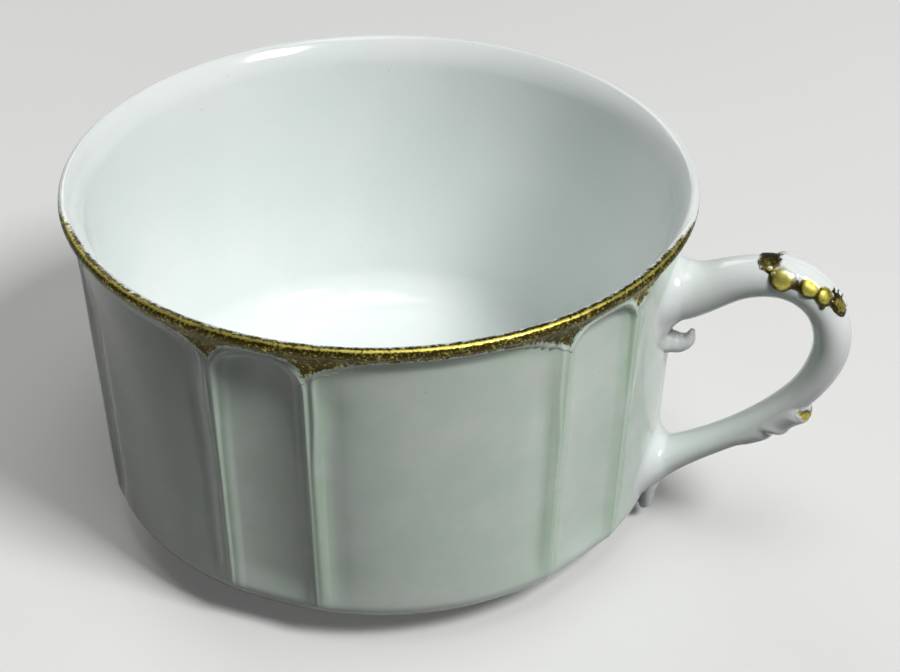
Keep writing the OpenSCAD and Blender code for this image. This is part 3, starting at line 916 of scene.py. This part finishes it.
def branch(name, seat, line):
    """A small branch from a seat along points of distance off the straight wall, height, half depth and
    half width."""
    p = spline(line, steps(0, len(line) - 1, BRANCH_ROWS))
    run = np.gradient(p[:, :2], axis=0)
    run /= np.linalg.norm(run, axis=1)[:, None]
    rings = []
    for row, d in zip(p, run):
        y = row[3] * np.cos(RING)
        z = row[1] + d[0] * row[2] * np.sin(RING)
        x = straight_r(z) + row[0] - d[1] * row[2] * np.sin(RING)
        rings.append(np.stack([x, y, z], -1))
    end = rings[-1]
    middle = end.mean(0)
    ahead = np.array([run[-1, 0], 0, run[-1, 1]]) * line[-1, 2]
    cap = [middle + (end - middle) * math.cos(a) + ahead * math.sin(a) for a in BRANCH_CAP]
    return loft(name, np.asarray([seat] + rings + cap))


CURL_DROP = 10.0
CURL_HALF = 1.9
CURL_SEAT_HALF = 1.15
CURL_SEAT_RISE = 1.1
CURL_Z = UPPER_ROOT_Z - CURL_DROP
CURL_LINE = np.array([
    [0.10, 0, 1.0, 1.08],
    [0.42, 0, 0.89, 0.95],
    [1.05, 0.05, 0.79, 0.84],
    [1.63, 0.47, 0.58, 0.68],
    [1.84, 1.21, 0.26, 0.37],
])


def build_curl():
    y = CURL_SEAT_HALF * CURL_HALF * np.cos(RING)
    z = CURL_Z + CURL_SEAT_RISE * CURL_HALF * np.sin(RING)
    seat = on_wall(np.stack([0 * RING, y, z], -1), -ROOT_SINK)
    return branch("upper_scroll", seat, CURL_LINE * CURL_HALF + np.array([0, CURL_Z, 0, 0]))


TAIL_L = 6.6
TAIL_HALF = 2.0
TAIL_POINT = HANDLE_POINTS - 1
TAIL_Z = float(handle_point(np.array(float(TAIL_POINT)), math.pi / 2)[2])
TAIL_SEAT_RUN = 0.4
TAIL_SEAT_ANGLE = math.radians(30)
TAIL_SEAT_IN = -2.4
TAIL_LINE = np.array([
    [-0.136, -0.25, 0.90, 1.40],
    [0.12, 0.04, 0.95, 1.38],
    [0.39, 0.06, 0.72, 1.20],
    [0.576, 0.05, 0.62, 1.05],
    [0.88, -0.06, 0.56, 0.75],
    [0.97, -0.14, 0.36, 0.45],
])


def build_tail():
    angle = math.pi / 2 - TAIL_SEAT_ANGLE * np.cos(RING)
    seat = handle_point(TAIL_POINT - TAIL_SEAT_RUN * np.sin(RING), angle, TAIL_SEAT_IN)
    down, off, depth, width = TAIL_LINE.T
    line = np.stack([off * TAIL_HALF, TAIL_Z - TAIL_L * down, depth * TAIL_HALF, width * TAIL_HALF], -1)
    return branch("lower_tail_tip", seat, line)


# Gilding: thin closed layers over the porcelain, with how far each point lies inside the gold kept on them

GILT_T = 0.06
GILT_LIFT = 0.015
LIP_GILT_LIFT = 0.01
GOLD_RAGGED = -0.7
LEAF_WORN = 0.3

# Gold on the rim: how low it may reach, and how far over the lip it goes at the front and at the back
GILT_FOOT = 8.5
ARCH_GOLD_OFF = 0.7
PANEL_NEAR = 5.0
NO_EDGE = 99.0
LIP_FRONT = math.radians(-75)
LIP_FRONT_FADE = (math.radians(80), math.radians(62))
LIP_GOLD_FRONT = 105.0
LIP_GOLD_BACK = 12.0
LIP_GOLD_SPARE = 20.0

# How dark it is: a painted highlight along a line on the lip, dark on the band below it, and lighter by the
# handle as painted light on the lamp-lit side
LIP_PAINTED_HIGHLIGHT = math.radians(56)
LIP_PAINTED_HIGHLIGHT_HALF = (math.radians(4), math.radians(20))
LIP_DARK = 0.12
LIP_DARK_OFF = 0.75
BAND_DARK = 0.78
BAND_DARK_LOW = 0.14
BAND_LOW = (1.4, 2.6)
GOLD_PAINTED_LIGHT = 0.34
GOLD_PAINTED_LIGHT_TO = (math.radians(16), math.radians(34))


def skin(name, outer, inner, faces, **looks):
    """A thin closed layer over the kept faces of a grid, with what its gold and its glaze look like kept on
    its points."""
    used, compact = np.unique(faces, return_inverse=True)
    top = compact.reshape(-1, 4)
    under = top[:, ::-1] + len(used)
    edges = np.concatenate([top[:, [k, (k + 1) % 4]] for k in range(4)])
    _, first, times = np.unique(np.sort(edges, 1), axis=0, return_index=True, return_counts=True)
    start, end = edges[first[times == 1]].T
    sides = np.stack([end, start, start + len(used), end + len(used)], -1)
    points = np.concatenate([outer.reshape(-1, 3)[used], inner.reshape(-1, 3)[used]])
    values = {key: np.tile(look.ravel()[used], 2) for key, look in looks.items()}
    piece = make_mesh(name, points, np.concatenate([top, under, sides]), values)
    smooth = np.arange(len(piece.data.polygons)) < len(top) + len(under)
    piece.data.polygons.foreach_set("use_smooth", smooth)
    return piece


def patch_skin(name, u, off, height, gold, dark, thick):
    """The gilded part of a patch, as a skin just over it."""
    angle = np.radians(90.0 + off)
    outer = handle_point(u, angle, height + GILT_LIFT)
    inner = handle_point(u, angle, height + GILT_LIFT - GILT_T)
    faces = grid_faces(*u.shape, False)
    kept = (gold.ravel()[faces] > GOLD_RAGGED).all(1) & (height.ravel()[faces] > 0.0).any(1)
    worn = np.full_like(gold, LEAF_WORN)
    return skin(name, outer, inner, faces[kept], gold=gold, dark=dark, thick=thick, worn=worn)


def rim_layer(wall_z, lip, lift):
    """Rings of the wall and the lip, lifted off the porcelain, and how deep the glaze has pooled on the
    wall."""
    outside, pool = wall_points(THETA[None, :], wall_z[:, None], lift)
    lip_r = LIP_T / 2 + lift
    over_lip = turned(THETA, LIP_MIDDLE + lip_r * np.cos(lip), LIP_Z + lip_r * np.sin(lip))
    return np.concatenate([outside, over_lip]), pool


def build_rim_gilding():
    theta = THETA[None, :]
    wall_z = WALL_Z[WALL_Z > CUP_H - GILT_FOOT]
    lip = steps(-LIP_TURN, math.radians(LIP_GOLD_FRONT + LIP_GOLD_SPARE), LIP_GOLD_ROWS)[1:]
    outer, pool = rim_layer(wall_z, lip, LIP_GILT_LIFT)
    inner = rim_layer(wall_z, lip, LIP_GILT_LIFT - GILT_T)[0]

    arch, y = arch_distance(theta, wall_z[:, None])
    over_flute = np.where(y > FLUTE_NEAR, NO_EDGE, arch - ARCH_GOLD_OFF)
    over_panel = np.where(y < PANEL_NEAR, NO_EDGE, wall_z[:, None] - panel_arch_z(theta))
    front = smoothstep(*LIP_FRONT_FADE, np.abs(turn_from(LIP_FRONT, theta)))
    top = np.radians(mix(LIP_GOLD_BACK, LIP_GOLD_FRONT, front))
    lip_depth = (top - lip[:, None]) * LIP_T / 2
    gold = np.concatenate([np.minimum(over_flute, over_panel), lip_depth])

    # Painted light: the gold is made lighter near the handle, on the side the key lamp lights
    painted_light = GOLD_PAINTED_LIGHT * (1 - smoothstep(*GOLD_PAINTED_LIGHT_TO, np.abs(turn_from(0.0, theta))))
    band_dark = BAND_DARK + BAND_DARK_LOW * smoothstep(*BAND_LOW, CUP_H - wall_z[:, None]) - painted_light
    # Painted highlight: the lip's gold is made light along a narrow line, where a lamp's reflection would
    # run
    lip_dark = LIP_DARK + LIP_DARK_OFF * smoothstep(*LIP_PAINTED_HIGHLIGHT_HALF, np.abs(lip - LIP_PAINTED_HIGHLIGHT))
    dark = np.concatenate([band_dark, lip_dark[:, None] + 0 * theta])

    pool = np.concatenate([pool, np.zeros_like(lip_depth)])
    faces = grid_faces(*gold.shape)
    kept = faces[(gold.ravel()[faces] > GOLD_RAGGED).any(1)]
    full = np.ones_like(gold)
    return skin("rim_gold", outer, inner, kept, gold=gold, dark=dark, thick=full, worn=full, pool=pool)


# Materials: noise is either spread from one range of values to another, or kept about zero with a depth

Mottle = namedtuple("Mottle", "scale detail roughness between to", defaults=[(0.0, 1.0)])
Grain = namedtuple("Grain", "scale detail roughness depth", defaults=[1.0])

GLAZE = (0.85, 0.885, 0.87)
GLAZE_COOL = (0.81, 0.865, 0.845)
GLAZE_POOL = (0.36, 0.64, 0.34)
GLAZE_SPECK = (0.42, 0.40, 0.34)
GLAZE_CLOUDS = Mottle(38.0, 2.0, 0.55, (0.35, 0.65))
POOL_CLOUDS = Mottle(160.0, 4.0, 0.55, (0.2, 0.7), (0.35, 0.75))
GLAZE_SPECKS = Mottle(1500.0, 1.0, 0.55, (0.79, 0.82), (0.0, 0.5))
GLAZE_ROUGH = Mottle(120.0, 4.0, 0.55, (0.3, 0.7), (0.10, 0.17))
GLAZE_SKIN = Grain(260.0, 3.0, 0.55)

FOOT_WARM = (0.72, 0.69, 0.62)
FOOT_GREY = (0.62, 0.585, 0.51)
FOOT_DIRT = (0.40, 0.37, 0.32)
FOOT_CLOUDS = Mottle(300.0, 4.0, 0.55, (0.3, 0.7))
FOOT_DUST = Mottle(2400.0, 2.0, 0.55, (0.58, 0.70))
FOOT_ROUGH = Mottle(700.0, 4.0, 0.55, (0.3, 0.7), (0.62, 0.85))
FOOT_SKIN = Grain(3200.0, 3.0, 0.55)

GOLD = (0.56, 0.50, 0.10)
GOLD_DARK = (0.050, 0.036, 0.004)
GOLD_METAL = 0.85
GOLD_COVER = (-0.20, 0.30)
GOLD_THICK = (0.1, 0.9)
GOLD_TONE = (0.1, 0.9)
GOLD_BARE_ROUGH = 0.4
GOLD_EDGE = Grain(1100.0, 6.0, 0.8, 2.8)
GOLD_FAINT = Grain(1300.0, 3.0, 0.55, 0.5)
GOLD_CLOUDS = Grain(550.0, 6.0, 0.75, 1.4)
GOLD_SPECKS = Grain(2400.0, 2.0, 0.55, 2.4)
GOLD_WORN = Mottle(2600.0, 3.0, 0.7, (0.64, 0.70), (1.0, 0.35))
GOLD_ROUGH = Mottle(700.0, 4.0, 0.55, (0.3, 0.7), (0.34, 0.52))


def new_material(name):
    material = bpy.data.materials.new(name)
    material.use_nodes = True
    tree = material.node_tree
    tree.nodes.clear()
    output = tree.nodes.new("ShaderNodeOutputMaterial")
    shader = tree.nodes.new("ShaderNodeBsdfPrincipled")
    tree.links.new(shader.outputs["BSDF"], output.inputs["Surface"])
    return material, tree, shader


def add(tree, kind, **settings):
    node = tree.nodes.new(kind)
    for key, value in settings.items():
        setattr(node, key, value)
    return node


def noise(tree, look):
    place = tree.nodes.get("Place") or add(tree, "ShaderNodeTexCoord", name="Place")
    node = add(tree, "ShaderNodeTexNoise")
    node.inputs["Scale"].default_value = look.scale
    node.inputs["Detail"].default_value = look.detail
    node.inputs["Roughness"].default_value = look.roughness
    tree.links.new(place.outputs["Object"], node.inputs["Vector"])
    return node.outputs["Fac"]


def remap(tree, value, low, high, to_low=0.0, to_high=1.0):
    node = add(tree, "ShaderNodeMapRange", interpolation_type="SMOOTHSTEP")
    node.inputs["From Min"].default_value = low
    node.inputs["From Max"].default_value = high
    node.inputs["To Min"].default_value = to_low
    node.inputs["To Max"].default_value = to_high
    tree.links.new(value, node.inputs["Value"])
    return node.outputs["Result"]


def calc(tree, operation, a, b):
    node = add(tree, "ShaderNodeMath", operation=operation)
    for socket, value in zip(node.inputs, (a, b)):
        if isinstance(value, (int, float)):
            socket.default_value = value
        else:
            tree.links.new(value, socket)
    return node.outputs["Value"]


def mottle(tree, look):
    return remap(tree, noise(tree, look), *look.between, *look.to)


def grain(tree, look):
    return calc(tree, "MULTIPLY", calc(tree, "SUBTRACT", noise(tree, look), 0.5), look.depth)


def blend(tree, factor, a, b):
    node = add(tree, "ShaderNodeMix", data_type="RGBA")
    tree.links.new(factor, node.inputs["Factor"])
    for name, value in (("A", a), ("B", b)):
        socket = [s for s in node.inputs if s.name == name and s.type == "RGBA"][0]
        if isinstance(value, tuple):
            socket.default_value = value + (1.0,)
        else:
            tree.links.new(value, socket)
    return [s for s in node.outputs if s.type == "RGBA"][0]


def attribute(tree, name):
    node = add(tree, "ShaderNodeAttribute", attribute_name=name)
    return node.outputs["Fac"]


def bump(tree, shader, height, strength, distance):
    node = add(tree, "ShaderNodeBump")
    node.inputs["Strength"].default_value = strength
    node.inputs["Distance"].default_value = distance
    tree.links.new(height, node.inputs["Height"])
    tree.links.new(node.outputs["Normal"], shader.inputs["Normal"])


def glaze_colour(tree):
    """White with slow changes of tint, a greener tone where the glaze is thick and a few fine specks."""
    tint = blend(tree, mottle(tree, GLAZE_CLOUDS), GLAZE, GLAZE_COOL)
    pool = calc(tree, "MULTIPLY", attribute(tree, "pool"), mottle(tree, POOL_CLOUDS))
    deep = blend(tree, pool, tint, GLAZE_POOL)
    return blend(tree, mottle(tree, GLAZE_SPECKS), deep, GLAZE_SPECK)


def porcelain():
    material, tree, shader = new_material("glazed_porcelain")
    tree.links.new(glaze_colour(tree), shader.inputs["Base Color"])
    tree.links.new(mottle(tree, GLAZE_ROUGH), shader.inputs["Roughness"])
    shader.inputs["IOR"].default_value = 1.48
    shader.inputs["Coat Weight"].default_value = 0.10
    shader.inputs["Coat Roughness"].default_value = 0.04
    shader.inputs["Subsurface Weight"].default_value = 0.06
    shader.inputs["Subsurface Radius"].default_value = (1.0, 0.9, 0.7)
    shader.inputs["Subsurface Scale"].default_value = 0.0012
    bump(tree, shader, noise(tree, GLAZE_SKIN), strength=0.06, distance=0.0004)
    return material


def biscuit():
    material, tree, shader = new_material("bare_foot")
    warm = blend(tree, mottle(tree, FOOT_CLOUDS), FOOT_WARM, FOOT_GREY)
    dust = blend(tree, mottle(tree, FOOT_DUST), warm, FOOT_DIRT)
    tree.links.new(dust, shader.inputs["Base Color"])
    tree.links.new(mottle(tree, FOOT_ROUGH), shader.inputs["Roughness"])
    bump(tree, shader, noise(tree, FOOT_SKIN), strength=0.35, distance=0.0003)
    return material


def gilding():
    """Fired gold, worn through in specks and ragged along its edge, where the porcelain shows."""
    material, tree, shader = new_material("worn_gold")
    depth = calc(tree, "ADD", attribute(tree, "gold"), grain(tree, GOLD_EDGE))
    cover = calc(tree, "MULTIPLY", remap(tree, depth, *GOLD_COVER), mottle(tree, GOLD_WORN))
    # The thick attribute also thins the gold on the leaf's lobes, partly as a painted highlight
    thick = calc(tree, "ADD", attribute(tree, "thick"), grain(tree, GOLD_FAINT))
    cover = calc(tree, "MULTIPLY", cover, remap(tree, thick, *GOLD_THICK))
    specks = calc(tree, "MULTIPLY", grain(tree, GOLD_SPECKS), attribute(tree, "worn"))
    cloudy = calc(tree, "ADD", grain(tree, GOLD_CLOUDS), specks)
    # The dark attribute carries painted shade and painted highlights as well as the gold's own dark tone
    dark = calc(tree, "ADD", attribute(tree, "dark"), cloudy)
    tone = blend(tree, remap(tree, dark, *GOLD_TONE), GOLD, GOLD_DARK)
    tree.links.new(blend(tree, cover, glaze_colour(tree), tone), shader.inputs["Base Color"])
    tree.links.new(calc(tree, "MULTIPLY", cover, GOLD_METAL), shader.inputs["Metallic"])
    share = calc(tree, "ADD", calc(tree, "MULTIPLY", cover, 1 - GOLD_BARE_ROUGH), GOLD_BARE_ROUGH)
    rough = calc(tree, "MULTIPLY", mottle(tree, GOLD_ROUGH), share)
    tree.links.new(rough, shader.inputs["Roughness"])
    shader.inputs["IOR"].default_value = 1.5
    bump(tree, shader, cover, strength=0.10, distance=0.00003)
    return material


# The pieces

PORCELAIN = porcelain()
BISCUIT = biscuit()
GILT = gilding()


def put(piece, material, slot, *nodes):
    piece.data.materials.append(material)
    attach(piece, "root")
    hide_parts(*nodes)


put(build_bowl(), PORCELAIN, "porcelain", "cup_body")
put(build_foot(), BISCUIT, "bare_foot", "foot_ring")
put(build_handle(), PORCELAIN, "porcelain", "handle")
put(build_slip("upper_slip_fillet", 0, 1), PORCELAIN, "porcelain", "upper_slip_joint")
put(build_slip("lower_slip_fillet", HANDLE_POINTS, -1), PORCELAIN, "porcelain", "lower_slip_joint")
put(patch("thumb_leaf_relief", *LEAF_GRID, LEAF[0]), PORCELAIN, "porcelain", "thumb_leaf")
put(patch("lower_leaf_relief", *KNOBS_GRID, KNOBS[0]), PORCELAIN, "porcelain", "lower_leaf")
put(build_curl(), PORCELAIN, "porcelain", "upper_curl")
put(build_tail(), PORCELAIN, "porcelain", "lower_tail")
put(build_rim_gilding(), GILT, "gilding", "rim_gilding")
put(patch_skin("thumb_leaf_gold", *LEAF_GRID, *LEAF), GILT, "gilding", "thumb_leaf_gilding")
put(patch_skin("lower_leaf_gold", *KNOBS_GRID, *KNOBS), GILT, "gilding", "lower_leaf_gilding")


# Floor, light and camera

FLOOR_R = 1300.0
FLOOR_CENTRE_R = 13.0
FLOOR_BEND = 500.0
FLOOR_WALL = 2200.0
FLOOR_BEND_ROWS = 12
FLOOR_COLUMNS = 96
FLOOR_PALE = (0.73, 0.73, 0.72)
FLOOR_PALER = (0.77, 0.77, 0.76)
FLOOR_CLOUDS = Mottle(3.0, 3.0, 0.55, (0.3, 0.7))
FLOOR_BOUNCE = (0.08, 0.08, 0.08)
FLOOR_GLOW = 0.12
FAR_GLOW = 0.72
FAR = (0.7, 1.6)


def floor_material():
    """Pale to the eye and darker to bounced light. Beyond the lamps it glows, for the camera alone."""
    material, tree, shader = new_material("pale_floor")
    tone = blend(tree, mottle(tree, FLOOR_CLOUDS), FLOOR_PALE, FLOOR_PALER)
    path = add(tree, "ShaderNodeLightPath")
    seen = calc(tree, "MAXIMUM", path.outputs["Is Camera Ray"], path.outputs["Is Glossy Ray"])
    seen = calc(tree, "MAXIMUM", seen, path.outputs["Is Transmission Ray"])
    distance = add(tree, "ShaderNodeVectorMath", operation="LENGTH")
    tree.links.new(tree.nodes["Place"].outputs["Object"], distance.inputs[0])
    far = remap(tree, distance.outputs["Value"], *FAR, 0.0, FAR_GLOW)
    far = calc(tree, "MULTIPLY", far, path.outputs["Is Camera Ray"])
    glow = calc(tree, "ADD", calc(tree, "MULTIPLY", seen, FLOOR_GLOW), far)
    tree.links.new(blend(tree, seen, FLOOR_BOUNCE, tone), shader.inputs["Base Color"])
    tree.links.new(tone, shader.inputs["Emission Color"])
    tree.links.new(glow, shader.inputs["Emission Strength"])
    shader.inputs["Roughness"].default_value = 0.75
    shader.inputs["Specular IOR Level"].default_value = 0.1
    return material


def build_floor():
    """A round floor that turns up into a wall on all sides."""
    bend = np.radians(steps(0, 90, FLOOR_BEND_ROWS))
    r = np.concatenate([[FLOOR_CENTRE_R], FLOOR_R + FLOOR_BEND * np.sin(bend), [FLOOR_R + FLOOR_BEND]])
    z = np.concatenate([[0.0], FLOOR_BEND * (1 - np.cos(bend)), [FLOOR_WALL]])
    rings = turned(steps(0, 2 * math.pi, FLOOR_COLUMNS, False), r, z)
    points = np.concatenate([rings.reshape(-1, 3), [[0.0, 0.0, 0.0]]])
    faces = grid_faces(len(r), FLOOR_COLUMNS).tolist()
    faces += fan_faces(np.arange(FLOOR_COLUMNS), len(points) - 1, True)
    floor = make_mesh("floor", points, faces)
    floor.data.materials.append(floor_material())


# Soft square lamps: azimuth from the handle's side, +X, towards +Y, elevation, distance, size and power
LAMPS = {
    "key": (-21, 50, 1.1, 0.28, 9.3),
    "top": (-40, 80, 1.2, 0.50, 2.7),
    "back": (138, 36, 1.2, 0.60, 3.2),
}
WORLD_COLOUR = (0.93, 0.97, 0.95, 1.0)
WORLD_STRENGTH = 0.03


def area_light(name, azimuth, elevation, distance, size, power):
    """A lamp aimed at the middle of the cup."""
    a, e = math.radians(azimuth), math.radians(elevation)
    at = Vector((math.cos(a) * math.cos(e), math.sin(a) * math.cos(e), math.sin(e))) * distance
    lamp = bpy.data.lights.new(name, "AREA")
    lamp.shape = "SQUARE"
    lamp.size = size
    lamp.energy = power
    holder = bpy.data.objects.new(name, lamp)
    bpy.context.scene.collection.objects.link(holder)
    holder.location = Vector((0, 0, CUP_H * MM / 2)) + at
    holder.rotation_euler = (-at).to_track_quat("-Z", "Y").to_euler()


def build_lights():
    for name, settings in LAMPS.items():
        area_light(name, *settings)
    world = bpy.data.worlds.new("studio")
    world.use_nodes = True
    background = world.node_tree.nodes["Background"]
    background.inputs["Color"].default_value = WORLD_COLOUR
    background.inputs["Strength"].default_value = WORLD_STRENGTH
    bpy.context.scene.world = world


IMAGE_W = 900
FOCUS_PX = 1882.75
SENSOR = 36.0
CLIP_START = 0.01
CLIP_END = 50.0
VIEW_TURN = math.radians(20)
VIEW_DISTANCE = 285.0
VIEW_ELEVATION = math.radians(29.377)
VIEW_PITCH = math.radians(34.412)
VIEW_YAW = math.radians(2.465)
VIEW_ROLL = math.radians(-0.446)


def build_camera():
    """The photograph's camera: where it stands from the middle of the rim, and how it is turned."""
    place = Vector((0, -math.cos(VIEW_ELEVATION), math.sin(VIEW_ELEVATION))) * VIEW_DISTANCE
    ahead = Vector((
        math.sin(VIEW_YAW) * math.cos(VIEW_PITCH),
        math.cos(VIEW_YAW) * math.cos(VIEW_PITCH),
        -math.sin(VIEW_PITCH),
    ))
    level = Vector((math.cos(VIEW_YAW), -math.sin(VIEW_YAW), 0))
    down = ahead.cross(level)
    right = level * math.cos(VIEW_ROLL) + down * math.sin(VIEW_ROLL)
    down = down * math.cos(VIEW_ROLL) - level * math.sin(VIEW_ROLL)
    spin = Matrix.Rotation(VIEW_TURN, 3, "Z")
    axes = Matrix((spin @ right, spin @ -down, spin @ -ahead)).transposed()
    data = bpy.data.cameras.new("photo_camera")
    data.sensor_width = SENSOR
    data.lens = FOCUS_PX * SENSOR / IMAGE_W
    data.clip_start = CLIP_START
    data.clip_end = CLIP_END
    camera = bpy.data.objects.new("photo_camera", data)
    bpy.context.scene.collection.objects.link(camera)
    rim = Vector((0, 0, CUP_H))
    camera.matrix_world = Matrix.Translation((rim + spin @ place) * MM) @ axes.to_4x4()
    bpy.context.scene.camera = camera


build_floor()
build_lights()
build_camera()
bpy.context.scene.view_settings.view_transform = "Standard"
